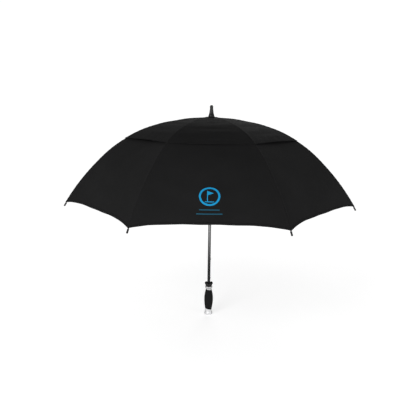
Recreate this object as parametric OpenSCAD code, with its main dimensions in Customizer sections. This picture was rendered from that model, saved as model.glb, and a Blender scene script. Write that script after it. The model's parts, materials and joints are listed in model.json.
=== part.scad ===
// Golf umbrella with a two-layer vented canopy, shown open.
// Millimetres. +Z runs up the shaft from the flat end of the handle (z = 0) to the top spike.
// -Y is the front. Rib k stands at azimuth (2k-1)*180/7 degrees, counted from -Y towards +X.

/* [Canopy] */
// Height of the canopy crown above the handle end
apex_z = 948; // [900:1:1000]
// Length of one rib line of fabric, crown to corner
panel_len = 787; // [780:1:795]
// Distance along the rib line to the edge of the upper canopy
vent_len = 403; // [380:1:430]
// Distance along the rib line to the upper edge of the lower canopy
main_start = 236; // [200:1:250]
// Thickness of the fabric solids
cloth_t = 0.5; // [0.4:0.1:1.0]
// How much the hem rises at the middle of a panel
scallop = 21.9; // [0:0.1:40]
// Lift of the upper canopy's edge between two ribs
vent_lift = 5; // [2:0.5:12]

/* [Frame] */
// Rib rod diameter
rib_d = 4; // [3.6:0.1:4.2]
// Distance along the rib line to the joint bracket
bracket_s = 300; // [290:1:310]
// Distance between the two pivots of a stretcher
stretcher_len = 360; // [350:1:370]
// Depth of the stretcher pivot below the rib
lug_drop = 7; // [6.5:0.1:7.5]
// Radius of the pivot circle in the top notch
notch_r = 10; // [9.8:0.1:10.5]
// Radius of the pivot circle in the runner
runner_r = 11.8; // [11.6:0.1:12.4]
// Length of the runner below its pivots
runner_drop = 104; // [90:1:105]

/* [Shaft and handle] */
// Shaft diameter
shaft_d = 14; // [13.6:0.1:14]
// Height of the stop pin
stop_z = 187; // [180:1:188]
// Height of the tip cup's rim
cup_rim_z = 163; // [162:1:166]
// Largest radius of the grip
grip_r = 21.2; // [18:0.1:22]
// Radius of the round band on the end cap
band_r = 19.5; // [18:0.1:21]

/* [Hidden] */
N = 7;
step = 360 / N;
AP = apex_z;
RR = rib_d / 2;
SR = shaft_d / 2;
// fabric line: three tangent arcs, heading in degrees below the horizontal
psi = [-2.2, 9.67, 44.0, 58.5];
ss = [0, 162.1 * panel_len / 787, 544.6 * panel_len / 787, panel_len];
rad = [for (i = [0:2]) (ss[i+1] - ss[i]) / ((psi[i+1] - psi[i]) * PI / 180)];
p0 = [0, AP];
c0 = [p0[0] - rad[0]*sin(psi[0]), p0[1] - rad[0]*cos(psi[0])];
p1 = [c0[0] + rad[0]*sin(psi[1]), c0[1] + rad[0]*cos(psi[1])];
c1 = [p1[0] - rad[1]*sin(psi[1]), p1[1] - rad[1]*cos(psi[1])];
p2 = [c1[0] + rad[1]*sin(psi[2]), c1[1] + rad[1]*cos(psi[2])];
c2 = [p2[0] - rad[2]*sin(psi[2]), p2[1] - rad[2]*cos(psi[2])];
cen = [c0, c1, c2];
function seg(s) = s <= ss[1] ? 0 : (s <= ss[2] ? 1 : 2);
function head(s) = let(i = seg(s)) psi[i] + (s - ss[i]) / rad[i] * 180 / PI;
function line_pt(s, o) = let(i = seg(s), p = head(s)) [cen[i][0] + (rad[i] + o)*sin(p), cen[i][1] + (rad[i] + o)*cos(p)];
drop = cloth_t + 1.5 + RR;          // rib axis below the fabric line
H = [notch_r, AP - 10];             // rib pivot in the top notch
J = line_pt(ss[1], -drop);
ch = atan2(-(J[1] - H[1]), J[0] - H[0]);
ph = 2*ch - psi[1];                 // rib heading at the notch
ra = norm(J - H) / (2*sin((psi[1] - ph)/2));
ca = [H[0] - ra*sin(ph), H[1] - ra*cos(ph)];
B = line_pt(bracket_s, -drop);
pb = head(bracket_s);
T = line_pt(panel_len, -drop);
P = [B[0] - lug_drop*sin(pb), B[1] - lug_drop*cos(pb)];
Q = [runner_r, P[1] - sqrt(stretcher_len*stretcher_len - pow(P[0] - runner_r, 2))];
hs = atan2(-(Q[1] - P[1]), Q[0] - P[0]);
// closed position of the same pivots
Bc = [17.5, H[1] - sqrt(pow(norm(B - H), 2) - pow(17.5 - H[0], 2))];
th = atan2(-(Bc[1] - H[1]), Bc[0] - H[0]) - atan2(-(B[1] - H[1]), B[0] - H[0]);
Pc = [H[0] + (P[0]-H[0])*cos(th) + (P[1]-H[1])*sin(th), H[1] - (P[0]-H[0])*sin(th) + (P[1]-H[1])*cos(th)];
Qc = [runner_r, Pc[1] - sqrt(stretcher_len*stretcher_len - pow(Pc[0] - runner_r, 2))];
run_bot = Q[1] - runner_drop;
key_a = 12.857;                     // direction of both catches, from +X
top_z = run_bot - 0.6;              // flat shoulder of the top catch
low_z = Qc[1] - 15.4;               // flat shoulder of the lower catch
arm = 45;                           // catch length from pin to shoulder

$fn = 64;

// helpers
module at_rib(k) rotate([0, 0, (2*k - 1)*180/N - 90]) children();
module at_pt(p, h) translate([p[0], 0, p[1]]) rotate([0, h, 0]) children();
// flat shape in the rib plane, thickness centred on the plane
module plate(w) rotate([90, 0, 0]) linear_extrude(height = w, center = true) children();
// round rod bent to a circle, between two headings
module arc_rod(c, R, a, b, r) translate([c[0], 0, c[1]]) rotate([90, 0, 0]) rotate([0, 0, 90 - b])
  rotate_extrude(angle = b - a, $fn = 360) translate([R, 0]) circle(r = r, $fn = 20);
module ring(R, r, z) translate([0, 0, z]) rotate_extrude($fn = 96) translate([R, 0]) circle(r = r, $fn = 16);
module band(x, w) translate([x, 0, 0]) rotate([0, 90, 0]) cylinder(h = w, r = RR + 0.25, $fn = 20);
module cross_pin(r, w) rotate([90, 0, 0]) cylinder(h = w, r = r, center = true, $fn = 24);

// fabric shell: C columns round the umbrella, M rows from s0 to the edge
function cloth_pt(s, t, g, o, lift) = let(
    q = line_pt(min(s, panel_len), o),
    w = 0.0115 * q[0] * (1 - t*t),
    x = q[0]*cos(180/N) - 0.6*w + lift*0.35,
    y = q[0]*sin(180/N)*t,
    z = q[1] - 0.8*w + lift*0.94,
    a = g*step - 90)
  [x*cos(a) - y*sin(a), x*sin(a) + y*cos(a), z];
module cloth(s0, s1, sc, o0, o1, D, M, lift) {
  C = N*D;
  pts = [for (o = [o1, o0]) for (j = [0:M]) for (c = [0:C-1])
    let(t = -1 + 2*(c % D)/D, g = floor(c/D),
        e = s1 - sc*(1 - pow(abs(t), 3.83)),
        s = s0 + (e - s0)*j/M)
    cloth_pt(s, t, g, o, lift*(1 - t*t)*pow(s/s1, 2))];
  B0 = (M + 1)*C;
  faces = concat(
    [for (j = [0:M-1]) for (c = [0:C-1]) let(d = (c+1) % C) [j*C+c, (j+1)*C+d, (j+1)*C+c]],
    [for (j = [0:M-1]) for (c = [0:C-1]) let(d = (c+1) % C) [j*C+c, j*C+d, (j+1)*C+d]],
    [for (j = [0:M-1]) for (c = [0:C-1]) let(d = (c+1) % C) [B0+j*C+c, B0+(j+1)*C+c, B0+(j+1)*C+d]],
    [for (j = [0:M-1]) for (c = [0:C-1]) let(d = (c+1) % C) [B0+j*C+c, B0+(j+1)*C+d, B0+j*C+d]],
    [for (c = [0:C-1]) let(d = (c+1) % C) [c, B0+c, B0+d]],
    [for (c = [0:C-1]) let(d = (c+1) % C) [c, B0+d, d]],
    [for (c = [0:C-1]) let(d = (c+1) % C) [M*C+c, B0+M*C+d, B0+M*C+c]],
    [for (c = [0:C-1]) let(d = (c+1) % C) [M*C+c, M*C+d, B0+M*C+d]]);
  polyhedron(points = pts, faces = faces, convexity = 6);
}

// pieces
module main_canopy() color("#1c1c1e") cloth(main_start, panel_len, scallop, -cloth_t, 0, 6, 17, 0);
module vent_canopy() color("#202022") cloth(9.4, vent_len, 0, 1.2, 1.2 + cloth_t, 6, 11, vent_lift);

module shaft() color("#17181a") difference() {
  translate([0, 0, 14]) cylinder(h = AP + 8 - 14, r = SR);
  translate([0, 0, 13]) cylinder(h = AP, r = SR - 2);
  rotate([0, 0, key_a]) {
    translate([3, -1.3, top_z - 15]) cube([6, 2.6, 16.4]);
    translate([3, -1.3, low_z - 1.4]) cube([6, 2.6, 16.4]);
    translate([0, 0, top_z - arm]) cross_pin(0.8, 20);
    translate([0, 0, low_z + arm]) cross_pin(0.8, 20);
  }
  rotate([0, 0, -key_a]) translate([0, 0, stop_z]) rotate([0, 90, 0]) cylinder(h = 20, r = 1.5, center = true, $fn = 24);
}
module ferrule() color("#121212") difference() {
  rotate_extrude() union() {
    polygon([[0, AP+2.7], [14, AP+2.7], [14, AP+6], [13.5, AP+10], [12.3, AP+14], [10.8, AP+18], [9.6, AP+23.5], [8.7, AP+32], [7.5, AP+40], [7.5, AP+50.4], [0, AP+50.4]]);
    intersection() {
      translate([0, AP+50.4]) circle(r = 7.5);
      translate([0, AP+50]) square([9, 9]);
    }
  }
  translate([0, 0, AP]) cylinder(h = 8.6, r = SR);
}
module rosette() color("#222222") translate([0, 0, AP - 1]) difference() {
  cylinder(h = 2.2, r = 14);
  translate([0, 0, -1]) cylinder(h = 5, r = SR);
}
module top_notch() color("#111111") difference() {
  union() {
    translate([0, 0, H[1] - 4.5]) cylinder(h = 9, r = 15);
    translate([0, 0, H[1] + 4]) cylinder(h = AP - 1 - H[1] - 4, r = 11);
  }
  translate([0, 0, H[1] - 10]) cylinder(h = 30, r = SR);
  for (k = [1:N]) at_rib(k) translate([7.45, -1.5, H[1] - 6]) cube([10, 3, 8.8]);
  ring(notch_r, 0.65, H[1]);
}
module notch_wire() color("#b8b8b8") ring(notch_r, 0.6, H[1]);

module runner() color("#141414") difference() {
  union() {
    translate([0, 0, run_bot]) cylinder(h = 4, r = 13.2);
    translate([0, 0, run_bot]) cylinder(h = runner_drop - 4, r = 11.2);
    for (i = [0:5]) translate([0, 0, run_bot + 16 + i*6]) cylinder(h = 2.4, r = 11.8);
    translate([0, 0, Q[1] - 6.5]) cylinder(h = 9.5, r = 15.5);
    translate([0, 0, Q[1] + 3]) cylinder(h = 1.5, r1 = 15.5, r2 = 14);
    translate([0, 0, Q[1] - 12]) cylinder(h = 5.5, r1 = 11.2, r2 = 14.5);
  }
  translate([0, 0, run_bot - 1]) cylinder(h = runner_drop + 10, r = SR + 0.05);
  for (k = [1:N]) at_rib(k) translate([8.8, -1.5, Q[1] - 13]) cube([10, 3, 20]);
  ring(runner_r, 0.65, Q[1]);
  rotate([0, 0, key_a]) {
    translate([0, -1.4, run_bot - 1]) cube([9.8, 2.8, runner_drop + 10]);
    translate([6, -1.8, Q[1] - 16]) cube([14, 3.6, 8]);
  }
}
module runner_wire() color("#b8b8b8") ring(runner_r, 0.6, Q[1]);

// spring catch: tooth with a flat shoulder, turned about a pin inside the shaft
module catch_plate() plate(2) difference() {
  union() {
    polygon([[-1.6, -arm], [1.8, -arm], [2.4, -20], [4.4, -13], [9.4, -2.4], [9.4, 0], [1.0, 0], [-1.6, -18]]);
    translate([0, -arm]) circle(r = 2.3, $fn = 32);
  }
  translate([0, -arm]) circle(r = 0.85, $fn = 24);
}
module top_catch() color("#9a9a9a") rotate([0, 0, key_a]) translate([0, 0, top_z]) catch_plate();
module lower_catch() color("#9a9a9a") rotate([0, 0, key_a]) translate([0, 0, low_z]) mirror([0, 0, 1]) catch_plate();
module catch_pins() color("#8a8a8a") rotate([0, 0, key_a]) {
  translate([0, 0, top_z - arm]) cross_pin(0.8, 13.6);
  translate([0, 0, low_z + arm]) cross_pin(0.8, 13.6);
}
module stop_pin() color("#8a8a8a") rotate([0, 0, -key_a]) translate([-6.8, 0, stop_z]) rotate([0, 90, 0])
  union() { cylinder(h = 15.4, r = 1.5, $fn = 24); translate([0, 0, 15.4]) cylinder(h = 1, r1 = 1.5, r2 = 0.8, $fn = 24); }

module tip_cup() color("#131313") translate([0, 0, cup_rim_z]) difference() {
  rotate_extrude() polygon([[SR, -23], [11.6, -23], [15.2, -13.5], [20, -2.8], [19.6, 0], [17.9, 0], [15.0, -10.2], [SR, -10.2]]);
  for (k = [1:N]) at_rib(k + 0.5) translate([11, 0, 0.6]) rotate([0, 90, 0]) cylinder(h = 12, r = 3.6, $fn = 32);
}
module neck_collar() color("#c9c9cc") difference() {
  rotate_extrude() difference() {
    polygon([[SR, 124], [13.6, 124], [13.9, 131], [15.4, 135], [17.8, 138.2], [17.8, 139.6], [17.2, 140], [SR, 140]]);
    translate([15.2, 132.6]) circle(r = 1.5, $fn = 32);
  }
  translate([0, 0, 129]) rotate([0, 8, 0]) translate([-40, -40, -30]) cube([80, 80, 30]);
}
module grip_core() color("#3a3a3a") difference() {
  translate([0, 0, 16]) cylinder(h = 108, r = 11);
  translate([0, 0, 12]) cylinder(h = 118, r = SR);
}
module grip() color("#151515") difference() {
  rotate_extrude() union() {
    intersection() {
      translate([grip_r - 166, 80]) circle(r = 166, $fn = 360);
      translate([0, 80]) square([40, 60]);
    }
    intersection() {
      translate([grip_r - 243, 80]) circle(r = 243, $fn = 360);
      translate([0, 20]) square([40, 60]);
    }
  }
  translate([0, 0, 14]) cylinder(h = 110, r = 11);
  translate([0, 0, 14]) cylinder(h = 136, r = SR);
  translate([0, 0, 129 - 0.02]) rotate([0, 8, 0]) translate([-40, -40, 0]) cube([80, 80, 30]);
  translate([0, 0, 29 + 0.02]) rotate([0, 12, 0]) translate([-40, -40, -30]) cube([80, 80, 30]);
}
module end_cap() color("#c9c9cc") difference() {
  rotate_extrude() union() {
    square([band_r - 3, 12]);
    translate([band_r - 3, 3]) circle(r = 3, $fn = 48);
    translate([0, 3]) square([band_r, 6]);
    polygon([[0, 8], [band_r, 9], [17.9, 12], [16.5, 16], [15.6, 21], [15.1, 27], [15.1, 38], [0, 38]]);
  }
  translate([0, 0, 16]) cylinder(h = 30, r = 11);
  translate([0, 0, 14]) cylinder(h = 30, r = SR);
  translate([0, 0, 29]) rotate([0, 12, 0]) translate([-40, -40, 0]) cube([80, 80, 30]);
}
// the strap lies flat against the inside of the panel between ribs 3 and 4
strap_a = cloth_pt(panel_len - scallop - 8, 0, 3, -cloth_t - 2.4, 0);
strap_b = cloth_pt(panel_len - scallop - 240, 0, 3, -cloth_t - 2.4, 0);
strap_r = [norm([strap_a[0], strap_a[1]]), norm([strap_b[0], strap_b[1]])];
strap_h = atan2(-(strap_a[2] - strap_b[2]), strap_r[0] - strap_r[1]);
module at_strap() rotate([0, 0, 3*step - 90]) translate([strap_r[0], 0, strap_a[2]]) rotate([0, strap_h, 0]) children();
module tie_strap() color("#18181a") at_strap() translate([-232, -9, -1]) cube([232, 18, 1]);
module strap_snap() color("#77777a") at_strap() translate([-222, 0, -2.6]) cylinder(h = 1.6, r = 5, $fn = 40);

module rib_inner(k) color("#1b1b1d") at_rib(k) difference() {
  union() {
    arc_rod(ca, ra, ph + 7/ra*180/PI, psi[1], RR);
    arc_rod(cen[1], rad[1] - drop, psi[1], pb - 2.7/(rad[1] - drop)*180/PI, RR);
    at_pt(J, psi[1]) band(-2.5, 5);
    at_pt(H, ph) plate(2.6) union() { translate([0, -1.7]) square([9.5, 3.4]); circle(r = 2.4, $fn = 32); }
  }
  at_pt(H, 0) cross_pin(0.75, 8);
}
module rib_bracket(k) color("#8f9092") at_rib(k) at_pt(B, pb) union() {
  for (y = [-2.45, 2.45]) translate([0, y, 0]) plate(0.8) union() {
    translate([-15, -3]) square([15, 4.1]);
    intersection() { circle(r = 2.9, $fn = 32); translate([-3, -3]) square([6, 4.1]); }
    translate([-2.6, -lug_drop]) square([5.2, lug_drop]);
    translate([0, -lug_drop]) circle(r = 2.6, $fn = 32);
  }
  translate([-15, -2.6, -3]) cube([10.5, 5.2, 0.9]);
  translate([-14, 0, 0]) rotate([0, 90, 0]) difference() {
    cylinder(h = 4, r = 2.6, $fn = 32);
    translate([0, 0, -1]) cylinder(h = 6, r = RR, $fn = 32);
  }
  for (z = [0, -lug_drop]) translate([0, 0, z]) {
    cross_pin(0.7, 6);
    for (y = [-3.1, 3.1]) translate([0, y, 0]) cross_pin(1.1, 0.6);
  }
}
module rib_outer(k) color("#1b1b1d") at_rib(k) difference() {
  union() {
    at_pt(B, pb) cross_pin(2.4, 3.6);
    arc_rod(cen[1], rad[1] - drop, pb + 1.3/(rad[1] - drop)*180/PI, psi[2], RR);
    arc_rod(cen[2], rad[2] - drop, psi[2], psi[3], RR);
    at_pt(line_pt(ss[2], -drop), psi[2]) band(-2.5, 5);
    at_pt(T, psi[3]) band(-4, 5.6);
    at_pt(T, psi[3]) rotate([0, 90, 0]) cylinder(h = 6, r = RR, $fn = 20);
  }
  at_pt(B, 0) cross_pin(0.75, 8);
}
module rib_tip(k) color("#101010") at_rib(k) at_pt(T, psi[3]) rotate([0, 90, 0]) difference() {
  union() {
    translate([0, 0, 1.8]) cylinder(h = 1.6, r = 4.1, $fn = 32);
    translate([0, 0, 1.8]) cylinder(h = 12, r1 = 3.5, r2 = 3.3, $fn = 32);
    translate([0, 0, 13.8]) sphere(r = 3.9, $fn = 32);
  }
  translate([0, 0, 1]) cylinder(h = 5.2, r = RR, $fn = 32);
}
module stretcher(k) color("#8f9092") at_rib(k) at_pt(P, hs) difference() {
  union() {
    translate([3, -1.7, -2]) cube([stretcher_len - 15, 3.4, 4]);
    translate([0, -1.7, -1.8]) cube([6, 3.4, 3.6]);
    cross_pin(2.4, 3.4);
    translate([stretcher_len - 14, -1.2, -1.8]) cube([14, 2.4, 3.6]);
    translate([stretcher_len, 0, 0]) cross_pin(2.4, 2.4);
  }
  translate([9, -0.95, -1.1]) cube([stretcher_len - 28, 1.9, 4]);
  cross_pin(0.75, 8);
  translate([stretcher_len, 0, 0]) cross_pin(0.8, 8);
}

shaft();
ferrule();
rosette();
top_notch();
notch_wire();
main_canopy();
vent_canopy();
tie_strap();
strap_snap();
catch_pins();
stop_pin();
tip_cup();
neck_collar();
grip_core();
grip();
end_cap();
runner();
runner_wire();
top_catch();
lower_catch();
rib_inner(1);  // rib_inner_1
rib_inner(2);  // rib_inner_2
rib_inner(3);  // rib_inner_3
rib_inner(4);  // rib_inner_4
rib_inner(5);  // rib_inner_5
rib_inner(6);  // rib_inner_6
rib_inner(7);  // rib_inner_7
rib_bracket(1);  // rib_bracket_1
rib_bracket(2);  // rib_bracket_2
rib_bracket(3);  // rib_bracket_3
rib_bracket(4);  // rib_bracket_4
rib_bracket(5);  // rib_bracket_5
rib_bracket(6);  // rib_bracket_6
rib_bracket(7);  // rib_bracket_7
rib_outer(1);  // rib_outer_1
rib_outer(2);  // rib_outer_2
rib_outer(3);  // rib_outer_3
rib_outer(4);  // rib_outer_4
rib_outer(5);  // rib_outer_5
rib_outer(6);  // rib_outer_6
rib_outer(7);  // rib_outer_7
rib_tip(1);  // rib_tip_1
rib_tip(2);  // rib_tip_2
rib_tip(3);  // rib_tip_3
rib_tip(4);  // rib_tip_4
rib_tip(5);  // rib_tip_5
rib_tip(6);  // rib_tip_6
rib_tip(7);  // rib_tip_7
stretcher(1);  // stretcher_1
stretcher(2);  // stretcher_2
stretcher(3);  // stretcher_3
stretcher(4);  // stretcher_4
stretcher(5);  // stretcher_5
stretcher(6);  // stretcher_6
stretcher(7);  // stretcher_7
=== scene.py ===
# Golf umbrella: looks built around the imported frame. Metres, +Z up the shaft, -Y the front.
import bpy
import bmesh
import json
import math
import numpy as np
from mathutils import Matrix, Vector

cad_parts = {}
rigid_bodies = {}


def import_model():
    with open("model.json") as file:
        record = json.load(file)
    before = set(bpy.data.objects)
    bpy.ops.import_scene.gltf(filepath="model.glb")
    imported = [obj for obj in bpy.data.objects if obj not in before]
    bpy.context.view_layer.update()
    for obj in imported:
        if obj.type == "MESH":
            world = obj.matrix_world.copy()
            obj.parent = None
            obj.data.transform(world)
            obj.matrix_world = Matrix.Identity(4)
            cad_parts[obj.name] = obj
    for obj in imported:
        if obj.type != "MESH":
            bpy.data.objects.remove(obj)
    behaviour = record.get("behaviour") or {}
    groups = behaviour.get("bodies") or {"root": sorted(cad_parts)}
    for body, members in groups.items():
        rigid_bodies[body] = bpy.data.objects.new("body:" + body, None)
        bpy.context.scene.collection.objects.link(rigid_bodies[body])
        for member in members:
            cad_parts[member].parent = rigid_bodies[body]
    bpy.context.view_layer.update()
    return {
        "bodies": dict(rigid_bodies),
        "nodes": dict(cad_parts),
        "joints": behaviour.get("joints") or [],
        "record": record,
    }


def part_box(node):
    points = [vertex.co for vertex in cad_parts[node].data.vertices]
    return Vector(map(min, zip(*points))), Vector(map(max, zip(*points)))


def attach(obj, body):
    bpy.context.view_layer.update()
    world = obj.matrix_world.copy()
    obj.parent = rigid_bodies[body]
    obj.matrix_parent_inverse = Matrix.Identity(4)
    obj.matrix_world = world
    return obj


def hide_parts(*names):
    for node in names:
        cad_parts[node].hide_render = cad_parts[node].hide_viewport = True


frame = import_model()
NODES, REC = frame["nodes"], frame["record"]
JOINTS = {j["name"]: j for j in frame["joints"]}

N = 7
PI = math.pi
D2R = PI / 180
STEP = 2 * PI / N
MM = 0.001
rng = np.random.RandomState(7)


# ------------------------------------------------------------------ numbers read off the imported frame
def jpos(name):
    p = JOINTS[name]["pos_m"]
    return np.array([math.hypot(p[0], p[1]), p[2]]) * 1000.0


H = jpos("rib_1_fold")                      # rib pivot at the notch, (r, z) in mm
B = jpos("outer_1_flex")                    # bend point at the joint bracket
TRAVEL = JOINTS["runner_slide"]["range_m"][1] * 1000.0
TH = JOINTS["rib_1_fold"]["range_deg"][1] * D2R
DL = JOINTS["outer_1_flex"]["range_deg"][0] * D2R
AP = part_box("rosette")[1].z * 1000.0 - 1.2  # crown height of the cloth line
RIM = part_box("tip_cup")[1].z * 1000.0
SHAFT_R = (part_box("shaft")[1].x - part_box("shaft")[0].x) * 500.0
TRAVEL_KEYS = [i / 12.0 for i in range(1, 13)]   # cloth shapes along the runner's travel

# cloth line of a rib: three tangent arcs, headings below the horizontal
PSI = [-2.2 * D2R, 9.67 * D2R, 44.0 * D2R, 58.5 * D2R]
SS = [0.0, 162.1, 544.6, 787.0]
L = SS[3]
RAD = [(SS[i + 1] - SS[i]) / (PSI[i + 1] - PSI[i]) for i in range(3)]
CEN = []
_p = (0.0, AP)
for _i in range(3):
    _c = (_p[0] - RAD[_i] * math.sin(PSI[_i]), _p[1] - RAD[_i] * math.cos(PSI[_i]))
    CEN.append(_c)
    _p = (_c[0] + RAD[_i] * math.sin(PSI[_i + 1]), _c[1] + RAD[_i] * math.cos(PSI[_i + 1]))
CENA, RADA, PSIA, SSA = np.array(CEN), np.array(RAD), np.array(PSI), np.array(SS)
MAIN0, VENT1, SCALLOP, DROP = 236.0, 403.0, 21.9, 4.0


def smooth(a, b, x):
    t = np.clip((np.asarray(x, float) - a) / (b - a), 0, 1)
    return t * t * (3 - 2 * t)


def line_pt(s, o=0.0):
    """(r, z, heading) of the cloth line at distance s along a rib, moved out by o."""
    s = np.asarray(s, float)
    i = np.where(s <= SSA[1], 0, np.where(s <= SSA[2], 1, 2))
    p = PSIA[i] + (s - SSA[i]) / RADA[i]
    return CENA[i, 0] + (RADA[i] + o) * np.sin(p), CENA[i, 1] + (RADA[i] + o) * np.cos(p), p


def turn(r, z, c, a):
    """Turns (r, z) about c by a, closing direction positive."""
    x, y = r - c[0], z - c[1]
    return c[0] + x * np.cos(a) + y * np.sin(a), c[1] - x * np.sin(a) + y * np.cos(a)


def rib_line(s, o, f):
    """Where the rib's cloth line is once the frame has closed by the share f."""
    r, z, _ = line_pt(s, o)
    r, z = turn(r, z, B, DL * f * smooth(270, 330, s))
    return turn(r, z, H, TH * f * smooth(6, 40, s))


_hs = np.linspace(0, L, 400)


def hull_r(f, o=0.0):
    """Outer envelope of the closed rib line's radius, as a taut sheet would lie over it."""
    r, _ = rib_line(_hs, o, f)
    pts, out = list(zip(_hs, r)), []
    for p in pts:
        while len(out) >= 2 and (out[-1][0] - out[-2][0]) * (p[1] - out[-2][1]) - (out[-1][1] - out[-2][1]) * (p[0] - out[-2][0]) >= 0:
            out.pop()
        out.append(p)
    a = np.array(out)
    return lambda s: np.interp(s, a[:, 0], a[:, 1])


def spiral_angle(rho, c, w):
    return (-rho + np.sqrt(rho * rho + 2 * c * np.maximum(w, 0.0))) / c


GAP_MAIN, GAP_VENT = 1.15, 0.85
LIFT_SHARE = np.array([0.3, 1.05, 0.85, 0.7, 0.8, 0.75, 1.05])   # how far each panel's vent edge stands off


def base_main(s, f, o):
    r, _ = rib_line(s, o, f)
    shut, _ = rib_line(s, o, 1.0)
    return r + np.maximum(hull_r(1.0, o)(s) + 1.0 - shut, 0.0) * f ** 3


def outer_main(s, o=0.0):
    """Outer radius of the rolled lower canopy."""
    s = np.asarray(s, float)
    rho = base_main(s, 1.0, o)
    c = N * GAP_MAIN / (2 * PI)
    w = line_pt(s)[0] * math.sin(PI / N)
    return rho + c * spiral_angle(rho, c, w)


def base_vent(s, f, o):
    r, _ = rib_line(s, o, f)
    shut, _ = rib_line(s, o, 1.0)
    under = outer_main(np.maximum(s, MAIN0 - 10)) + 1.5
    k = smooth(120, MAIN0 - 4, s)
    tgt = (hull_r(1.0, o)(s) + 1.5) * (1 - k) + under * k
    return r + np.maximum(tgt - shut, 0.0) * f ** 3


def sheet_point(s, t, g, o, f, lift, vent, extra):
    """World point (mm) of a panel: s along the rib line, t across the gore g, o outward, f share closed."""
    r0, z0, psi = line_pt(np.minimum(s, L), o)
    rr, zz = rib_line(np.minimum(s, L), o, f)
    half0 = r0 * math.sin(PI / N)
    rho = base_vent(s, f, o) if vent else base_main(s, f, o)
    one = 1 - t * t
    sag = 0.0115 * r0 * one * (1 - f)
    lf = (lift * LIFT_SHARE[np.asarray(g, int)] * one * (np.minimum(s, VENT1) / VENT1) ** 2 if vent else 0.0) * (1 - f)
    # open and half closed: a flap folding outward between two ribs
    xm, ym = rho * math.cos(PI / N), rho * math.sin(PI / N)
    h = np.sqrt(np.maximum(half0 ** 2 - ym ** 2, 0.0))
    soft = np.sqrt(t * t + 0.0144)
    flap = h * (1.058 - soft) / 0.938 * (np.abs(t) < 1)
    flap = np.maximum(flap, 0)
    x = xm + flap * 0.92 - 0.6 * sag + 0.35 * lf + extra * 0.5
    if vent:
        x = x + 4.0 * one * min(1.0, 5 * f)
    y = ym * t
    z = zz - 0.8 * sag + 0.94 * lf + extra * 0.85 - 0.32 * flap * f
    a = g * STEP - PI / 2
    V = np.stack([x * np.cos(a) - y * np.sin(a), x * np.sin(a) + y * np.cos(a), z], -1)
    if f <= 0.5:
        return V
    # closed: every flap is wrapped the same way round the bundle
    gp = GAP_VENT if vent else GAP_MAIN
    c = N * gp / (2 * PI)
    phk = a - PI / N
    Phi = np.maximum(spiral_angle(rho, c, half0), 0.5 * STEP)
    end = phk + Phi
    up = np.clip(1 + t, 0, 1)
    ph_out = phk + Phi * (up * 0.75 + 0.25 * up * up)
    ph_in = end + (phk + STEP - end) * np.clip(t, 0, 1)
    ph = np.where(t <= 0, ph_out, ph_in)
    fold = 0.5 * smooth(0.0, 0.06, t) + 0.5 * smooth(0.55, 1.0, t)
    rad = rho + c * np.maximum(ph - phk, 0) - np.where(t > 0, gp * fold, 0.0)
    rad = rad + 0.5 * np.sin(3 * ph + s * 0.021) * smooth(60, 300, s)
    # the free edge of a flap droops a little
    zq = zz - 6.0 * smooth(-1, 0, -np.abs(t)) * smooth(200, 700, s)
    W = np.stack([rad * np.cos(ph), rad * np.sin(ph), zq], -1)
    k = float(smooth(0.5, 1.0, f))
    return V * (1 - k) + W * k


# ------------------------------------------------------------------ small helpers
def link(o):
    bpy.context.scene.collection.objects.link(o)
    return o


def mesh_obj(name, verts, faces, mat=None, smooth_shade=True):
    me = bpy.data.meshes.new(name)
    me.from_pydata([tuple(v) for v in verts], [], faces)
    me.validate()
    me.update()
    o = link(bpy.data.objects.new(name, me))
    if mat:
        me.materials.append(mat)
    if smooth_shade:
        me.polygons.foreach_set("use_smooth", [True] * len(me.polygons))
    return o


def add_mod(o, kind, **kw):
    m = o.modifiers.new(kind.lower(), kind)
    for k, v in kw.items():
        setattr(m, k, v)
    return m


def follow_runner(o, keys, base):
    """Shape keys at steps of the runner's travel, mixed by the runner's own height."""
    o.shape_key_add(name="Basis")
    n = len(keys)
    for i, co in enumerate(keys):
        k = o.shape_key_add(name="travel_%d" % (i + 1))
        k.data.foreach_set("co", np.ascontiguousarray(co, np.float32).ravel())
        fc = k.driver_add("value")
        d = fc.driver
        d.type = "SCRIPTED"
        v = d.variables.new()
        v.name = "z"
        v.type = "TRANSFORMS"
        v.targets[0].id = frame["bodies"]["runner"]
        v.targets[0].transform_type = "LOC_Z"
        v.targets[0].transform_space = "WORLD_SPACE"
        q = "(-z*%.8f)" % (1000.0 / TRAVEL * n)
        if i == n - 1:
            d.expression = "max(0, min(1, %s-%d))" % (q, i)
        else:
            d.expression = "max(0, 1-abs(%s-%d))" % (q, i + 1)


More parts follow.
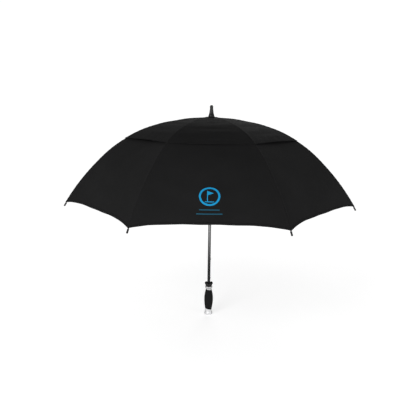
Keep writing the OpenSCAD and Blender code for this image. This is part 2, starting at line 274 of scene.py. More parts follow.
# ------------------------------------------------------------------ materials
class Mat:
    def __init__(self, name):
        self.m = bpy.data.materials.new(name)
        self.m.use_nodes = True
        self.t = self.m.node_tree
        self.n = self.t.nodes
        self.l = self.t.links
        self.b = self.n["Principled BSDF"]

    def node(self, kind, **kw):
        x = self.n.new(kind)
        for k, v in kw.items():
            if k.startswith("i_"):
                x.inputs[k[2:].replace("_", " ")].default_value = v
            else:
                setattr(x, k, v)
        return x

    def link(self, a, b):
        self.l.new(a, b)

    def math(self, op, a, b=None, c=None, clamp=False):
        x = self.n.new("ShaderNodeMath")
        x.operation = op
        x.use_clamp = clamp
        for i, v in enumerate((a, b, c)):
            if v is None:
                continue
            if isinstance(v, (int, float)):
                x.inputs[i].default_value = v
            else:
                self.l.new(v, x.inputs[i])
        return x.outputs[0]

    def noise(self, scale, detail=3.0, rough=0.5, vec=None):
        x = self.n.new("ShaderNodeTexNoise")
        x.inputs["Scale"].default_value = scale
        x.inputs["Detail"].default_value = detail
        x.inputs["Roughness"].default_value = rough
        if vec is None:
            c = self.n.new("ShaderNodeTexCoord")
            vec = c.outputs["Object"]
        self.l.new(vec, x.inputs["Vector"])
        return x.outputs["Fac"]

    def ramp(self, fac, stops):
        x = self.n.new("ShaderNodeValToRGB")
        cr = x.color_ramp
        while len(cr.elements) > 1:
            cr.elements.remove(cr.elements[-1])
        cr.elements[0].position = stops[0][0]
        cr.elements[0].color = (*stops[0][1], 1)
        for p, c in stops[1:]:
            e = cr.elements.new(p)
            e.color = (*c, 1)
        self.l.new(fac, x.inputs[0])
        return x.outputs[0]

    def mix(self, fac, a, b):
        x = self.n.new("ShaderNodeMix")
        x.data_type = "RGBA"
        for sock, v in ((x.inputs[0], fac), (x.inputs[6], a), (x.inputs[7], b)):
            if isinstance(v, (int, float)):
                sock.default_value = v
            elif isinstance(v, tuple):
                sock.default_value = (*v, 1)
            else:
                self.l.new(v, sock)
        return x.outputs[2]

    def bump(self, height, strength, dist=0.001, normal=None):
        x = self.n.new("ShaderNodeBump")
        x.inputs["Strength"].default_value = strength
        x.inputs["Distance"].default_value = dist
        self.l.new(height, x.inputs["Height"])
        if normal is not None:
            self.l.new(normal, x.inputs["Normal"])
        return x.outputs["Normal"]

    def shine(self, level, power=1.0, sock="Specular IOR Level"):
        """Reflection level (a number or a socket) that falls off towards the outline, as in a studio with dark side flags."""
        lw = self.node("ShaderNodeLayerWeight")
        lw.inputs[0].default_value = 0.5
        f = self.math("POWER", self.math("SUBTRACT", 1.0, lw.outputs["Facing"], clamp=True), power)
        self.l.new(self.math("MULTIPLY", f, level), self.b.inputs[sock])

    def set(self, **kw):
        for k, v in kw.items():
            k = k.replace("_", " ")
            s = self.b.inputs[k]
            if isinstance(v, (int, float)):
                s.default_value = v
            elif isinstance(v, tuple):
                s.default_value = (*v, 1)
            else:
                self.l.new(v, s)
        return self


def printed_mark(m, u, v):
    """A plain print for the front panel: a ring round a golf pennant, and two bars under it."""
    x, y = m.math("ADD", u, 0.002), m.math("SUBTRACT", v, 0.654)
    rr = m.math("SQRT", m.math("ADD", m.math("MULTIPLY", x, x), m.math("MULTIPLY", y, y)))

    def bar(cx, cy, hx, hy):
        a = m.math("LESS_THAN", m.math("ABSOLUTE", m.math("SUBTRACT", x, cx)), hx)
        b = m.math("LESS_THAN", m.math("ABSOLUTE", m.math("SUBTRACT", y, cy)), hy)
        return m.math("MULTIPLY", a, b)

    ring = m.math("LESS_THAN", m.math("ABSOLUTE", m.math("SUBTRACT", rr, 0.0345)), 0.0035)
    slope = m.math("ADD", m.math("ADD", x, 0.006), m.math("MULTIPLY", m.math("ABSOLUTE", m.math("ADD", y, 0.0125)), 2.4))
    flag = m.math("MULTIPLY", m.math("LESS_THAN", slope, 0.021), m.math("GREATER_THAN", x, -0.0065))
    out = m.math("MAXIMUM", ring, flag)
    for b in (bar(-0.0075, 0.0005, 0.0016, 0.0225), bar(0.0, 0.0225, 0.016, 0.0016)):
        out = m.math("MAXIMUM", out, b)
    low = m.math("MAXIMUM", bar(0.0, 0.0535, 0.036, 0.0022), bar(0.0, 0.0700, 0.046, 0.0022))
    return out, low


def cloth_material(name, col, seam_rows, hem_rows, mark=False):
    m = Mat(name)
    uv = m.node("ShaderNodeUVMap", uv_map="cloth")
    sep = m.node("ShaderNodeSeparateXYZ")
    m.link(uv.outputs[0], sep.inputs[0])
    at = m.node("ShaderNodeUVMap", uv_map="edges")
    sp = m.node("ShaderNodeSeparateXYZ")
    m.link(at.outputs[0], sp.inputs[0])
    u, v = sep.outputs[0], sep.outputs[1]          # metres across and along a panel
    ds, dh = sp.outputs[0], sp.outputs[1]          # metres from the seam and from the hem
    # plain weave, 0.45 mm threads
    wx = m.math("SINE", m.math("MULTIPLY", u, 2 * PI / 0.0009))
    wy = m.math("SINE", m.math("MULTIPLY", v, 2 * PI / 0.0009))
    weave = m.math("MULTIPLY", wx, wy)
    # slubs and faint pressing marks
    big = m.noise(6.0, 4.0, 0.55)
    slub = m.noise(95.0, 3.0, 0.6)
    vec = m.node("ShaderNodeCombineXYZ")
    m.link(m.math("MULTIPLY", u, 9.0), vec.inputs[0])
    m.link(m.math("MULTIPLY", v, 70.0), vec.inputs[1])
    streak = m.noise(1.0, 3.0, 0.55, vec.outputs[0])
    dark, light = tuple(c * 0.88 for c in col), tuple(c * 1.15 for c in col)
    base = m.ramp(big, [(0.30, dark), (0.70, light)])
    base = m.mix(m.math("MULTIPLY", slub, 0.25), base, light)

    # stitch rows: short threads, parallel to the seam or the hem
    def row(dist, at_mm, along, width=0.00045, pitch=0.0032):
        near = m.math("LESS_THAN", m.math("ABSOLUTE", m.math("SUBTRACT", dist, at_mm * MM)), width)
        on = m.math("LESS_THAN", m.math("FRACT", m.math("DIVIDE", along, pitch)), 0.66)
        return m.math("MULTIPLY", near, on)

    st = None
    for a in seam_rows:
        r = row(ds, a, v)
        st = r if st is None else m.math("MAXIMUM", st, r)
    for a in hem_rows:
        r = row(dh, a, u)
        st = r if st is None else m.math("MAXIMUM", st, r)
    thread = tuple(min(1.0, c * 2.1) for c in col)
    base = m.mix(m.math("MULTIPLY", st, 0.8), base, thread)
    # the folded double cloth along seams and hem is a touch denser
    dense = m.math("MAXIMUM", m.math("LESS_THAN", ds, 0.0065), m.math("LESS_THAN", dh, 0.0085))
    base = m.mix(m.math("MULTIPLY", dense, 0.35), base, tuple(c * 0.72 for c in col))
    if mark:
        big_print, low_print = printed_mark(m, u, v)
        ink = m.mix(m.math("MULTIPLY", slub, 0.5), (0.010, 0.30, 0.60), (0.014, 0.36, 0.70))
        base = m.mix(m.math("MULTIPLY", big_print, 0.97), base, ink)
        base = m.mix(m.math("MULTIPLY", low_print, 0.55), base, (0.020, 0.16, 0.26))
    hgt = m.math("ADD", m.math("MULTIPLY", weave, 0.10), m.math("MULTIPLY", streak, 0.5))
    hgt = m.math("ADD", hgt, m.math("MULTIPLY", st, 0.6))
    hgt = m.math("ADD", hgt, m.math("MULTIPLY", dense, 0.45))
    nrm = m.bump(hgt, 0.35, 0.0006)
    rough = m.math("ADD", m.math("MULTIPLY", slub, 0.16), 0.66)
    m.set(Base_Color=base, Roughness=rough, Normal=nrm)
    m.shine(0.10, 1.0)
    m.b.inputs["Sheen Weight"].default_value = 0.012
    m.b.inputs["Sheen Roughness"].default_value = 0.45
    return m.m


def plastic(name, col, rough=0.42, grain=900.0, bump=0.12, spec=0.4, mould=0.12):
    """Moulded plastic: fine spark grain, faint flow marks and rubbed edges."""
    m = Mat(name)
    flow = m.noise(40.0, 4.0, 0.6)
    fine = m.noise(grain, 2.0, 0.5)
    base = m.ramp(flow, [(0.3, tuple(c * (1 - mould) for c in col)), (0.7, tuple(c * (1 + mould) for c in col))])
    geo = m.node("ShaderNodeNewGeometry")
    edge = m.ramp(geo.outputs["Pointiness"], [(0.50, (0, 0, 0)), (0.60, (1, 1, 1))])
    base = m.mix(m.math("MULTIPLY", edge, 0.25), base, tuple(min(1, c * 1.8 + 0.01) for c in col))
    r = m.math("ADD", m.math("MULTIPLY", fine, 0.18), rough - 0.09)
    m.set(Base_Color=base, Roughness=r, Normal=m.bump(fine, bump, 0.0004))
    m.shine(spec, 2.4)
    return m.m


def gloss_tube(name, col):
    """Lacquered glass-fibre tube: wrapped weave under a clear coat."""
    m = Mat(name)
    tc = m.node("ShaderNodeTexCoord")
    sep = m.node("ShaderNodeSeparateXYZ")
    m.link(tc.outputs["Object"], sep.inputs[0])
    ang = m.math("ARCTAN2", sep.outputs[1], sep.outputs[0])
    a = m.math("SINE", m.math("ADD", m.math("MULTIPLY", ang, 12.0), m.math("MULTIPLY", sep.outputs[2], 900.0)))
    b = m.math("SINE", m.math("SUBTRACT", m.math("MULTIPLY", ang, 12.0), m.math("MULTIPLY", sep.outputs[2], 900.0)))
    w = m.math("MULTIPLY", a, b)
    base = m.ramp(m.math("ADD", m.math("MULTIPLY", w, 0.5), 0.5), [(0.2, tuple(c * 0.95 for c in col)), (0.8, tuple(c * 1.05 for c in col))])
    streak = m.noise(14.0, 3.0, 0.5)
    r = m.math("ADD", m.math("MULTIPLY", streak, 0.10), 0.22)
    m.set(Base_Color=base, Roughness=r)
    # painted highlight: the reflection is made much stronger towards the top of the shaft and weaker near the grip,
    # standing in for a brighter reflection higher up
    up = m.node("ShaderNodeMapRange", interpolation_type="SMOOTHSTEP")
    up.inputs[1].default_value = 0.22
    up.inputs[2].default_value = 0.46
    up.inputs[3].default_value = 0.35
    up.inputs[4].default_value = 3.2
    m.link(sep.outputs[2], up.inputs[0])
    m.shine(up.outputs[0], 3.0)
    m.link(m.bump(streak, 0.015, 0.0008), m.b.inputs["Normal"])
    return m.m


def metal(name, col, rough=0.3, brushed=True, metallic=1.0):
    m = Mat(name)
    tc = m.node("ShaderNodeTexCoord")
    mp = m.node("ShaderNodeMapping")
    mp.inputs["Scale"].default_value = (60.0, 60.0, 900.0) if brushed else (120.0,) * 3
    m.link(tc.outputs["Object"], mp.inputs[0])
    n = m.noise(1.0, 3.0, 0.55, mp.outputs[0])
    fine = m.noise(700.0, 2.0)
    base = m.ramp(n, [(0.3, tuple(c * 0.86 for c in col)), (0.7, tuple(min(1, c * 1.08) for c in col))])
    geo = m.node("ShaderNodeNewGeometry")
    edge = m.ramp(geo.outputs["Pointiness"], [(0.51, (0, 0, 0)), (0.60, (1, 1, 1))])
    base = m.mix(m.math("MULTIPLY", edge, 0.3), base, tuple(min(1, c * 1.25) for c in col))
    # painted shade: the base colour darkens towards the outline, standing in for the dark sides that the surroundings
    # would reflect
    lw = m.node("ShaderNodeLayerWeight")
    lw.inputs[0].default_value = 0.5
    painted_dark_sides = m.ramp(lw.outputs["Facing"], [(0.22, (0, 0, 0)), (0.72, (1, 1, 1))])
    base = m.mix(m.math("MULTIPLY", painted_dark_sides, 0.75), base, tuple(c * 0.22 for c in col))
    m.set(Base_Color=base, Metallic=metallic, Roughness=m.math("ADD", m.math("MULTIPLY", n, 0.16), rough - 0.06))
    m.link(m.bump(fine, 0.05, 0.0003), m.b.inputs["Normal"])
    return m.m


def rubber(name, col):
    m = Mat(name)
    tc = m.node("ShaderNodeTexCoord")
    vor = m.n.new("ShaderNodeTexVoronoi")
    vor.inputs["Scale"].default_value = 620.0
    m.link(tc.outputs["Object"], vor.inputs["Vector"])
    fine = m.noise(1500.0, 2.0)
    wear = m.noise(28.0, 4.0, 0.6)
    base = m.ramp(wear, [(0.35, tuple(c * 0.8 for c in col)), (0.75, tuple(c * 1.5 for c in col))])
    geo = m.node("ShaderNodeNewGeometry")
    edge = m.ramp(geo.outputs["Pointiness"], [(0.50, (0, 0, 0)), (0.58, (1, 1, 1))])
    base = m.mix(m.math("MULTIPLY", edge, 0.35), base, tuple(c * 2.2 for c in col))
    h = m.math("ADD", m.math("MULTIPLY", vor.outputs["Distance"], 0.8), m.math("MULTIPLY", fine, 0.3))
    m.set(Base_Color=base, Roughness=m.math("ADD", m.math("MULTIPLY", wear, 0.15), 0.62), Normal=m.bump(h, 0.35, 0.0005))
    m.shine(0.2, 1.0)
    return m.m


M = {
    "cloth_lower": cloth_material("cloth_lower", (0.0104, 0.0104, 0.0106), (2.2, 5.6), (2.0, 7.6), mark=True),
    "cloth_inside": cloth_material("cloth_inside", (0.0118, 0.0118, 0.0122), (2.2, 5.6), (2.0, 7.6)),
    # painted shade: the upper canopy is the same cloth as the lower one, given a darker colour to offset the stronger
    # light it takes from above
    "cloth_upper": cloth_material("cloth_upper", (0.0094, 0.0094, 0.0096), (2.2, 5.6), (2.0, 7.6)),
    "shaft_gloss": gloss_tube("shaft_gloss", (0.010, 0.0105, 0.0115)),
    "rib_black": plastic("rib_black", (0.012, 0.012, 0.013), 0.30, 500.0, 0.05, 0.5),
    "black_plastic": plastic("black_plastic", (0.0055, 0.0055, 0.0058), 0.30, 900.0, 0.05, 0.5),
    "grey_plastic": plastic("grey_plastic", (0.09, 0.09, 0.09), 0.5),
    "silver": metal("silver", (0.84, 0.84, 0.85), 0.34, False, 0.8),
    "grip_rubber": rubber("grip_rubber", (0.0044, 0.0044, 0.0045)),
    "steel": metal("steel", (0.52, 0.52, 0.53), 0.30, True),
    "stretcher_metal": plastic("stretcher_metal", (0.016, 0.016, 0.017), 0.32, 400.0, 0.06, 0.5),
    "collar_silver": metal("collar_silver", (0.70, 0.70, 0.71), 0.34, False, 0.8),
    "catch_metal": metal("catch_metal", (0.13, 0.13, 0.135), 0.32, True),
    "thread": plastic("thread", (0.020, 0.020, 0.021), 0.8, 2500.0, 0.4, 0.1),
}
slot_of = {s["node"]: s["material_slot"] for s in REC["subparts"]}
for name, o in NODES.items():
    o.data.materials.clear()
    look = {"top_catch": "catch_metal", "lower_catch": "catch_metal", "stop_pin": "catch_metal", "neck_collar": "collar_silver"}
    o.data.materials.append(M[look.get(name, slot_of[name])])
    o.data.polygons.foreach_set("use_smooth", [True] * len(o.data.polygons))
    add_mod(o, "EDGE_SPLIT", split_angle=32 * D2R)


def columns(nt):
    """Spots across a gore, closer together beside the seams."""
    e = [0.985, 0.965, 0.94]
    mid = list(np.linspace(0.90, 0.0, (nt - 8) // 2 + 1))
    h = e + mid
    return np.array([-1.0] + [-x for x in h] + [x for x in reversed(h[:-1])])


def wrinkle(s, t, g, vent):
    """Slack of the cloth, in mm: soft cross folds high up, tension lines at the tips, puckers at the seams."""
    r0 = line_pt(s)[0]
    half = r0 * math.sin(PI / N)
    d = (1 - np.abs(t)) * half
    ph = 1.7 * g
    out = 0.35 * np.exp(-d / 9.0) * np.sin(2 * PI * s / 23.0 + ph * 3) * smooth(60, 160, s)
    if vent:
        out = out + 0.9 * np.sin(2 * PI * s / 74.0 + 0.9 * t + ph) * (1 - t * t) * smooth(90, 200, s)
        out = out + 0.4 * np.sin(2 * PI * s / 41.0 - 1.6 * t + 2 * ph) * (1 - t * t) * smooth(120, 260, s)
        out = out + 0.5 * np.sin(5.5 * PI * t + ph) * (1 - t * t) * smooth(300, VENT1, s)
        # the crown pulls in a little below the spike and the free skirt stands a little proud
        out = out - 2.3 * np.exp(-((s - 165.0) / 38.0) ** 2) + 2.4 * smooth(240, 330, s) * np.minimum(1.0, LIFT_SHARE[np.asarray(g, int)] + 0.2)
        # cloth gathered under the spike
        out = out + (3.4 + 0.7 * np.cos(4 * PI * t)) * np.exp(-((s - 17.0) / 11.0) ** 2)
        out = out + 0.55 * np.cos(4 * PI * t) * np.exp(-((s - 30.0) / 22.0) ** 2)
    else:
        out = out + 0.9 * np.sin(2 * PI * (s - 0.22 * d) / 96.0 + ph) * (1 - t * t) * smooth(420, 620, s)
        fan = np.sin(26 * np.arctan2(d, np.maximum(L + 25 - s, 5.0)) + ph)
        out = out + 0.8 * fan * np.exp(-np.hypot(d, L - s) / 85.0) * smooth(0, 14, d)
        out = out + 1.2 * np.sin(4.5 * PI * t + ph * 2) * (1 - t * t) * smooth(700, 787, s)
        # drawn up a little where it comes out from under the vent
        out = out + 2.2 * smooth(VENT1 - 30, VENT1 + 12, s) * (1 - smooth(VENT1 + 50, VENT1 + 165, s))
    return out


def cloth_sheet(name, s0, s1, scallop, o, nt, rows, mat, vent=False, lift=0.0, thick=0.45, band=None, wr=1.0):
    T = columns(nt)
    nt = len(T)
    C = N * nt
    tt = np.tile(T, N)
    gg = np.repeat(np.arange(N), nt).astype(float)
    end = s1 - scallop * (1 - np.abs(tt) ** 3.83)
    beg = np.full(C, float(s0)) if band is None else end - band
    k = np.linspace(0, 1, rows + 1)
    s = beg[None, :] + (end - beg)[None, :] * k[:, None]
    t = np.repeat(tt[None, :], rows + 1, 0)
    g = np.repeat(gg[None, :], rows + 1, 0)
    r0 = line_pt(s)[0]
    d = (1 - np.abs(t)) * r0 * math.sin(PI / N)
    ridge = 0.35 * smooth(7.5, 5.0, d)          # seam allowance folded under
    extra = wrinkle(s, t, g, vent) * wr + ridge

    def at(f):
        e = extra * (1 - f)
        return sheet_point(s, t, g, o, f, lift, vent, e).reshape(-1, 3) * MM

    rest = at(0.0)
    faces, uv, ed = [], [], []
    sgn = t * r0 * math.sin(PI / N)
    dh = end[None, :] - s
    for j in range(rows):
        for c in range(C):
            n = (c + 1) % C
            gore = c // nt
            last = (c % nt) == nt - 1
            faces.append((j * C + c, (j + 1) * C + c, (j + 1) * C + n, j * C + n))
            for (jj, cc) in ((j, c), (j + 1, c), (j + 1, n), (j, n)):
                if last and cc == n:
                    uv.append((r0[jj, cc] * math.sin(PI / N) * MM + 0.7 * gore, s[jj, cc] * MM))
                else:
                    uv.append((sgn[jj, cc] * MM + 0.7 * gore, s[jj, cc] * MM))
                ed.append((d[jj, cc] * MM, dh[jj, cc] * MM))
    ob = mesh_obj(name, rest, faces, mat)
    for nm, dat in (("cloth", uv), ("edges", ed)):
        layer = ob.data.uv_layers.new(name=nm)
        layer.data.foreach_set("uv", np.array(dat, np.float32).ravel())
    follow_runner(ob, [at(f) for f in TRAVEL_KEYS], rest)
    ob.data.materials.append(M["cloth_inside"])
    add_mod(ob, "SOLIDIFY", thickness=thick * MM, offset=-1.0, use_even_offset=False, material_offset=1)
    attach(ob, "shaft")
    return ob


NT = 34
main = cloth_sheet("canopy_lower", MAIN0, L, SCALLOP, 0.0, NT, 56, M["cloth_lower"])
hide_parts("main_canopy")
vent = cloth_sheet("canopy_upper", 11.0, VENT1, 0.0, 1.6, NT, 40, M["cloth_upper"], vent=True, lift=8.0)
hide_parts("vent_canopy")
for nm, s1, sc, o, vn, lf in (("hem_lower", L, SCALLOP, 0.42, False, 0.0), ("hem_upper", VENT1, 0.0, 2.02, True, 8.0)):
    hb = cloth_sheet(nm, 0, s1, sc, o, NT, 3, M["cloth_upper" if vn else "cloth_lower"], vent=vn, lift=lf, thick=1.2, band=9.0)


# ------------------------------------------------------------------ tie strap inside the panel between ribs 3 and 4
def strap():
    n, w = 60, 8
    u = np.linspace(0, 1, n + 1)
    v = np.linspace(-1, 1, w + 1)
    U, V = np.meshgrid(u, v, indexing="ij")
    s = (L - SCALLOP - 9) - 232 * U
    half = line_pt(s)[0] * math.sin(PI / N)
    t = V * 9.0 / half

    def at(f):
        flat = sheet_point(s, t, np.full_like(s, 3.0), -2.6, 0.0, 0.0, False, 0.0)
        if f == 0:
            return flat.reshape(-1, 3) * MM
        z0 = rib_line(np.array([690.0]), 0.0, f)[1][0]
        if f < 0.99:
            p = sheet_point(s, t, np.full_like(s, 3.0), -2.6, f, 0.0, False, 0.0)
            return p.reshape(-1, 3) * MM
        sv = np.linspace(660, 720, 7)
        R = float(np.max(outer_main(sv))) + 2.4 + 1.2 * U
        ph = 2.2 + U * 232.0 / (float(np.max(outer_main(sv))) + 3.0)
        p = np.stack([R * np.cos(ph), R * np.sin(ph), z0 + 9.0 * V + 2.0 * np.sin(ph)], -1)
        return p.reshape(-1, 3) * MM

    rest = at(0.0)
    faces, uv, ed = [], [], []
    for i in range(n):
        for j in range(w):
            q = [(i, j), (i + 1, j), (i + 1, j + 1), (i, j + 1)]
            faces.append(tuple(a * (w + 1) + b for a, b in q))
            for a, b in q:
                uv.append((v[b] * 0.009, u[a] * 0.232))
                ed.append(((1 - abs(v[b])) * 0.009, 1.0))
    ob = mesh_obj("strap_cloth", rest, faces, M["cloth_lower"])
    for nm, dat in (("cloth", uv), ("edges", ed)):
        layer = ob.data.uv_layers.new(name=nm)
        layer.data.foreach_set("uv", np.array(dat, np.float32).ravel())
    follow_runner(ob, [at(f) for f in TRAVEL_KEYS], rest)
    add_mod(ob, "SOLIDIFY", thickness=0.0011, offset=0.0)
    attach(ob, "shaft")
    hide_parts("tie_strap")
    # two-part snap near the free end, drawn as a small domed disc
    ring, vs, fs, prof = 20, [], [], [(0.0, 1.9), (2.2, 1.8), (4.0, 1.3), (4.9, 0.5), (5.0, 0.0), (0.0, 0.0)]
    idx = []
    for r, h in prof:
        if r == 0:
            idx.append([len(vs)])
            vs.append((0, 0, h))
        else:
            idx.append(list(range(len(vs), len(vs) + ring)))
            vs += [(r * math.cos(2 * PI * i / ring), r * math.sin(2 * PI * i / ring), h) for i in range(ring)]
    for a, b in zip(idx, idx[1:]):
        for i in range(ring):
            j = (i + 1) % ring
            if len(a) == 1:
                fs.append((a[0], b[i], b[j]))
            elif len(b) == 1:
                fs.append((a[i], b[0], a[j]))
            else:
                fs.append((a[i], b[i], b[j], a[j]))
    pv = np.array(vs)

    def snap(f):
        su = np.array([L - SCALLOP - 9 - 232 * 0.93])
        if f < 0.99:
            e = 1.0
            c = sheet_point(su, np.zeros(1), np.full(1, 3.0), -3.3, f, 0.0, False, 0.0)[0]
            cu = sheet_point(su - e, np.zeros(1), np.full(1, 3.0), -3.3, f, 0.0, False, 0.0)[0]
            cv = sheet_point(su, np.full(1, 0.01), np.full(1, 3.0), -3.3, f, 0.0, False, 0.0)[0]
            a = (cu - c) / np.linalg.norm(cu - c)
            b = cv - c
            b = b - a * (a @ b)
            b /= np.linalg.norm(b)
            nrm = np.cross(a, b)
            if f == 0 and nrm[2] > 0:
                nrm, b = -nrm, -b
        else:
            R0 = float(np.max(outer_main(np.linspace(660, 720, 7))))
            ph = 2.2 + 0.93 * 232.0 / (R0 + 3.0)
            R = R0 + 2.4 + 1.2 * 0.93 + 0.6
            z0 = rib_line(np.array([690.0]), 0.0, 1.0)[1][0] + 2.0 * math.sin(ph)
            c = np.array([R * math.cos(ph), R * math.sin(ph), z0])
            nrm = np.array([math.cos(ph), math.sin(ph), 0.0])
            a = np.array([-math.sin(ph), math.cos(ph), 0.0])
            b = np.cross(nrm, a)
        return (c + pv[:, :1] * a + pv[:, 1:2] * b + pv[:, 2:3] * nrm) * MM

    so = mesh_obj("strap_button", snap(0.0), fs, M["steel"])
    follow_runner(so, [snap(f) for f in TRAVEL_KEYS], None)
    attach(so, "shaft")
    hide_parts("strap_snap")


strap()


# ------------------------------------------------------------------ thread loops that tie the cloth to the ribs
def rib_frame(s, k):
    """Matrix (mm) with +X along rib k at s, +Z out of the cloth, origin on the rod's axis."""
    r, z, p = [float(x) for x in line_pt(s, -DROP)]
    a = (2 * k - 1) * PI / N - PI / 2
    er = Vector((math.cos(a), math.sin(a), 0))
    x = er * math.cos(p) + Vector((0, 0, -math.sin(p)))
    zz = er * math.sin(p) + Vector((0, 0, math.cos(p)))
    y = zz.cross(x)
    m = Matrix((x, y, zz)).transposed().to_4x4()
    m.translation = er * r + Vector((0, 0, z))
    return m


def loop_mesh(name, places, body):
    vs, fs = [], []
    for (m, turns) in places:
        for q in range(turns):
            n, c = 28, 6
            base = len(vs)
            for i in range(n):
                a = 2 * PI * i / n
                # a loop round the rod, drawn up to the cloth
                cy, cz = 2.35 * math.sin(a), 2.35 * math.cos(a)
                if cz > 0:
                    cz *= 1.22
                ctr = Vector((q * 0.75 + 0.25 * math.sin(a), cy, cz))
                out = Vector((0, math.sin(a), math.cos(a)))
                for b in range(c):
                    e = 2 * PI * b / c
                    p = ctr + out * (0.32 * math.cos(e)) + Vector((0.32 * math.sin(e), 0, 0))
                    vs.append((m @ p) * MM)
            for i in range(n):
                for b in range(c):
                    fs.append((base + i * c + b, base + ((i + 1) % n) * c + b, base + ((i + 1) % n) * c + (b + 1) % c, base + i * c + (b + 1) % c))
    o = mesh_obj(name, vs, fs, M["thread"])
    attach(o, body)
    return o


for k in range(1, N + 1):
    loop_mesh("thread_ties_inner_%d" % k, [(rib_frame(246.0, k), 4)], "rib_%d" % k)
    loop_mesh("thread_ties_outer_%d" % k, [(rib_frame(s, k), 4) for s in (398.0, 520.0, 650.0)], "outer_%d" % k)


# ------------------------------------------------------------------ turned details
def lathe(name, prof, mat, body, seg=96, closed=True, wave=None):
    """Revolved profile of (r, z) in mm; wave(phi, r, z) may change the radius."""
    vs, fs = [], []
    for r, z in prof:
        for i in range(seg):
            a = 2 * PI * i / seg
            q = r if wave is None else wave(a, r, z)
            vs.append((q * math.cos(a) * MM, q * math.sin(a) * MM, z * MM))
    n = len(prof)
    for j in range(n if closed else n - 1):
        for i in range(seg):
            a, b = j, (j + 1) % n
            fs.append((a * seg + i, a * seg + (i + 1) % seg, b * seg + (i + 1) % seg, b * seg + i))
    o = mesh_obj(name, vs, fs, mat)
    bm = bmesh.new()
    bm.from_mesh(o.data)
    bmesh.ops.recalc_face_normals(bm, faces=bm.faces)
    bm.to_mesh(o.data)
    bm.free()
    o.data.polygons.foreach_set("use_smooth", [True] * len(o.data.polygons))
    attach(o, body)
    return o


# grip: a moulded rubber sleeve with a belly, finger dishes and fine ribs
GR = (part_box("grip")[1].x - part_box("grip")[0].x) * 500.0


def grip():
    seg, rows = ((144, 220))
    t8, t12 = math.tan(8 * D2R), math.tan(12 * D2R)
    vs, fs = [], []
    for j in range(rows + 1):
        k = j / rows
        for i in range(seg):
            a = 2 * PI * i / seg
            ca, sa = math.cos(a), math.sin(a)
            # end planes are tilted, so a column runs between the two tilted heights
            for _ in range(2):
                zlo = 29.05 - 15.9 * ca * t12
                zhi = 128.95 - 13.9 * ca * t8
                z = zlo + (zhi - zlo) * k
            big = 166.0 if z > 80 else 243.0
            R = GR - big + math.sqrt(max(big ** 2 - (z - 80) ** 2, 0))
            # palm swell at the back, flatter finger side
            R += 0.35 * math.cos(a) * math.sin(PI * k) ** 2
            mid = smooth(0.04, 0.12, k) * (1 - smooth(0.86, 0.95, k))
            # finger dishes on the -Y side
            fing = 0.55 * (0.5 - 0.5 * math.cos(2 * PI * (z - 50) / 20.0)) * max(0.0, -sa) ** 1.5
            R -= float(mid) * fing * float(smooth(46, 52, z) * (1 - smooth(108, 114, z)))
            # fine raised ribs in two side panels
            pan = float(smooth(0.62, 0.72, abs(ca))) * float(mid)
            R += pan * 0.32 * (0.5 + 0.5 * math.cos(2 * PI * z / 2.6)) - pan * 0.15
            # panel border groove
            R -= 0.45 * math.exp(-((abs(ca) - 0.64) / 0.025) ** 2) * float(mid)
            # end beads
            R += 0.7 * math.exp(-((z - (zhi - 2.2)) / 1.1) ** 2) + 0.7 * math.exp(-((z - (zlo + 2.2)) / 1.1) ** 2)
            vs.append((R * ca * MM, R * sa * MM, z * MM))
    for j in range(rows):
        for i in range(seg):
            n = (i + 1) % seg
            fs.append((j * seg + i, j * seg + n, (j + 1) * seg + n, (j + 1) * seg + i))
    # inner wall down to the core
    base = len(vs)
    for z0, sl, src in ((29.05, t12, 0), (128.95, t8, rows)):
        for i in range(seg):
            a = 2 * PI * i / seg
            r = 11.05 if src == 0 else 7.05
            vs.append((r * math.cos(a) * MM, r * math.sin(a) * MM, (z0 - r * math.cos(a) * sl) * MM))
    for i in range(seg):
        n = (i + 1) % seg
        fs.append((base + i, base + n, n, i))
        fs.append((rows * seg + i, rows * seg + n, base + seg + n, base + seg + i))
        fs.append((base + seg + i, base + seg + n, base + n, base + i))
    o = mesh_obj("grip_sleeve", vs, fs, M["grip_rubber"])
    bm = bmesh.new()
    bm.from_mesh(o.data)
    bmesh.ops.recalc_face_normals(bm, faces=bm.faces)
    bm.to_mesh(o.data)
    bm.free()
    o.data.polygons.foreach_set("use_smooth", [True] * len(o.data.polygons))
    add_mod(o, "EDGE_SPLIT", split_angle=50 * D2R)
    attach(o, "shaft")
    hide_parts("grip")


grip()


def fluted(a, r, z):
    return r + 0.55 * max(0.0, math.cos(14 * a)) if r > 14.4 else r


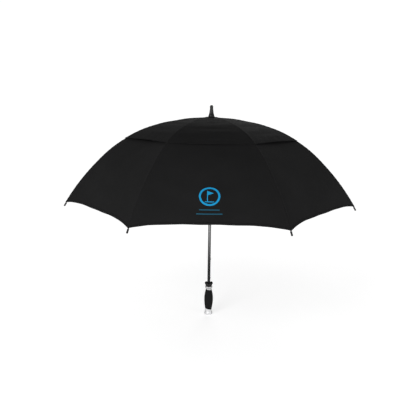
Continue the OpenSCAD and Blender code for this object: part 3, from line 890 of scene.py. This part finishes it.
def spike_skin():
    """The black spike as one smooth turned skin, through the radii of its CAD profile."""
    seg = 96
    knots = [(14.0, 6.0), (13.5, 10.0), (12.3, 14.0), (10.8, 18.0), (9.6, 23.5), (8.7, 32.0), (7.5, 40.0), (7.5, 50.4)]
    prof = [(14.0, 2.7), (14.0, 4.4)]
    for i in range(len(knots) - 1):
        p0, p1, p2, p3 = knots[max(i - 1, 0)], knots[i], knots[i + 1], knots[min(i + 2, len(knots) - 1)]
        for k in range(6):
            q = k / 6.0
            prof.append(tuple(0.5 * (2 * p1[c] + (p2[c] - p0[c]) * q + (2 * p0[c] - 5 * p1[c] + 4 * p2[c] - p3[c]) * q * q
                                     + (3 * p1[c] - p0[c] - 3 * p2[c] + p3[c]) * q ** 3) for c in (0, 1)))
    for k in range(12):
        a = k * PI / 24
        prof.append((7.5 * math.cos(a), 50.4 + 7.5 * math.sin(a)))
    vs = [(r * math.cos(2 * PI * i / seg) * MM, r * math.sin(2 * PI * i / seg) * MM, (AP + z) * MM) for r, z in prof for i in range(seg)]
    fs = [(j * seg + i, j * seg + (i + 1) % seg, (j + 1) * seg + (i + 1) % seg, (j + 1) * seg + i)
          for j in range(len(prof) - 1) for i in range(seg)]
    lo, hi = len(vs), len(vs) + 1
    vs += [(0.0, 0.0, (AP + 2.7) * MM), (0.0, 0.0, (AP + 57.9) * MM)]
    last = (len(prof) - 1) * seg
    fs += [((i + 1) % seg, i, lo) for i in range(seg)] + [(last + i, last + (i + 1) % seg, hi) for i in range(seg)]
    o = mesh_obj("spike_skin", vs, fs, M["black_plastic"])
    add_mod(o, "EDGE_SPLIT", split_angle=50 * D2R)
    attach(o, "shaft")
    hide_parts("ferrule")


spike_skin()

# scalloped washer under the spike, and a moulded ring above it
o = lathe("spike_washer", [(13.2, AP + 4.3), (15.6, AP + 4.3), (16.1, AP + 4.9), (15.6, AP + 5.9), (14.6, AP + 6.9), (14.0, AP + 8.2), (13.2, AP + 8.2)],
          M["black_plastic"], "shaft", 140, True, fluted)
o = lathe("spike_ring", [(10.2, AP + 17.0), (11.7, AP + 17.0), (12.0, AP + 17.8), (11.5, AP + 18.6), (10.2, AP + 18.6)], M["black_plastic"], "shaft", 64)
# rolled upper lip of the silver collar, closed round the foot of the tip cup
o = lathe("collar_lip", [(11.9, 140.05), (16.9, 140.05), (17.6, 140.95), (17.7, 143.25), (17.2, 144.75), (16.0, 145.95), (14.9, 146.35), (14.2, 146.15)], M["collar_silver"], "shaft", 96)
# parting ring on the silver end cap
o = lathe("cap_ring", [(14.9, 21.2), (16.0, 21.2), (16.35, 22.0), (15.9, 22.8), (14.9, 22.8)], M["silver"], "shaft", 96)


# ------------------------------------------------------------------ floor, light and camera
def plane(name, size, z, mat):
    o = mesh_obj(name, [(-size, -size, z), (size, -size, z), (size, size, z), (-size, size, z)], [(0, 1, 2, 3)], mat, False)
    return o


fl = Mat("floor_pale")
fn = fl.noise(3.0, 2.0)
fl.set(Base_Color=fl.ramp(fn, [(0.3, (0.90, 0.90, 0.90)), (0.7, (0.92, 0.92, 0.92))]), Roughness=0.9)
fl.b.inputs["Specular IOR Level"].default_value = 0.0
# far from the object the floor fades into the backdrop, so no horizon shows
pos = fl.node("ShaderNodeNewGeometry")
ln = fl.node("ShaderNodeVectorMath", operation="LENGTH")
fl.link(pos.outputs["Position"], ln.inputs[0])
far = fl.node("ShaderNodeMapRange", interpolation_type="SMOOTHSTEP")
far.inputs[1].default_value = 0.7
far.inputs[2].default_value = 2.6
fl.link(ln.outputs["Value"], far.inputs[0])
ray = fl.node("ShaderNodeLightPath")
em = fl.node("ShaderNodeEmission")
em.inputs[0].default_value = (1, 1, 1, 1)
em.inputs[1].default_value = 1.05
mx = fl.node("ShaderNodeMixShader")
fl.link(fl.math("MULTIPLY", far.outputs[0], ray.outputs["Is Camera Ray"]), mx.inputs[0])
fl.link(fl.b.outputs[0], mx.inputs[1])
fl.link(em.outputs[0], mx.inputs[2])
fl.link(mx.outputs[0], fl.n["Material Output"].inputs[0])
fl.b.inputs["Emission Color"].default_value = (1, 1, 1, 1)
fl.b.inputs["Emission Strength"].default_value = 0.55
plane("floor", 60.0, -0.001, fl.m)

w = bpy.data.worlds.new("studio")
bpy.context.scene.world = w
w.use_nodes = True
wn, wl = w.node_tree.nodes, w.node_tree.links
bg = wn["Background"]
bg.inputs[0].default_value = (1, 1, 1, 1)
lp = wn.new("ShaderNodeLightPath")
mr = wn.new("ShaderNodeMapRange")
# light from the sides more than from overhead
tc = wn.new("ShaderNodeTexCoord")
sx = wn.new("ShaderNodeSeparateXYZ")
wl.new(tc.outputs["Generated"], sx.inputs[0])
up = wn.new("ShaderNodeMapRange")
up.inputs[3].default_value = 0.72
up.inputs[4].default_value = 0.16
wl.new(sx.outputs[2], up.inputs[0])
wl.new(up.outputs[0], mr.inputs[3])
mr.inputs[4].default_value = 1.05
wl.new(lp.outputs["Is Camera Ray"], mr.inputs[0])
wl.new(mr.outputs[0], bg.inputs[1])


def area(name, loc, target, size, power, size_y=None):
    d = bpy.data.lights.new(name, "AREA")
    d.shape = "RECTANGLE"
    d.size = size
    d.size_y = size_y or size
    d.energy = power
    o = link(bpy.data.objects.new(name, d))
    o.location = loc
    o.rotation_euler = (Vector(target) - Vector(loc)).to_track_quat("-Z", "Y").to_euler()
    return o


area("key", (-2.0, -3.0, 2.3), (0, 0, 0.6), 1.8, 44)
area("fill", (2.8, -2.2, 1.6), (0, 0, 0.5), 2.2, 16)
area("back", (0.4, 3.2, 1.9), (0, 0, 0.6), 2.0, 22)
area("strip", (-1.1, -2.6, 0.5), (0, 0, 0.35), 0.35, 7, 1.5)
card = area("card", (0.02, -1.75, 0.06), (0, 0, 0.45), 0.12, 0.5, 0.22)
card.visible_camera = False
card.visible_diffuse = False

cam = bpy.data.cameras.new("camera")
cam.sensor_width = 36.0
cam.lens = 459.3048 / 420.0 * 36.0
cam.shift_x = 0.0
cam.shift_y = -3.57 / 420.0
cam.clip_end = 200.0
co = link(bpy.data.objects.new("camera", cam))
SCALE = 0.6492
co.matrix_world = (
    Matrix.Translation((0, -3.2578 * SCALE, AP * MM + 0.0409 * SCALE))
    @ Matrix.Rotation(PI / 2 - 0.2025, 4, "X")
    @ Matrix.Rotation(0.0160, 4, "Z")
)
sc = bpy.context.scene
sc.camera = co
sc.view_settings.view_transform = "Standard"
sc.view_settings.look = "None"

bpy.context.view_layer.update()
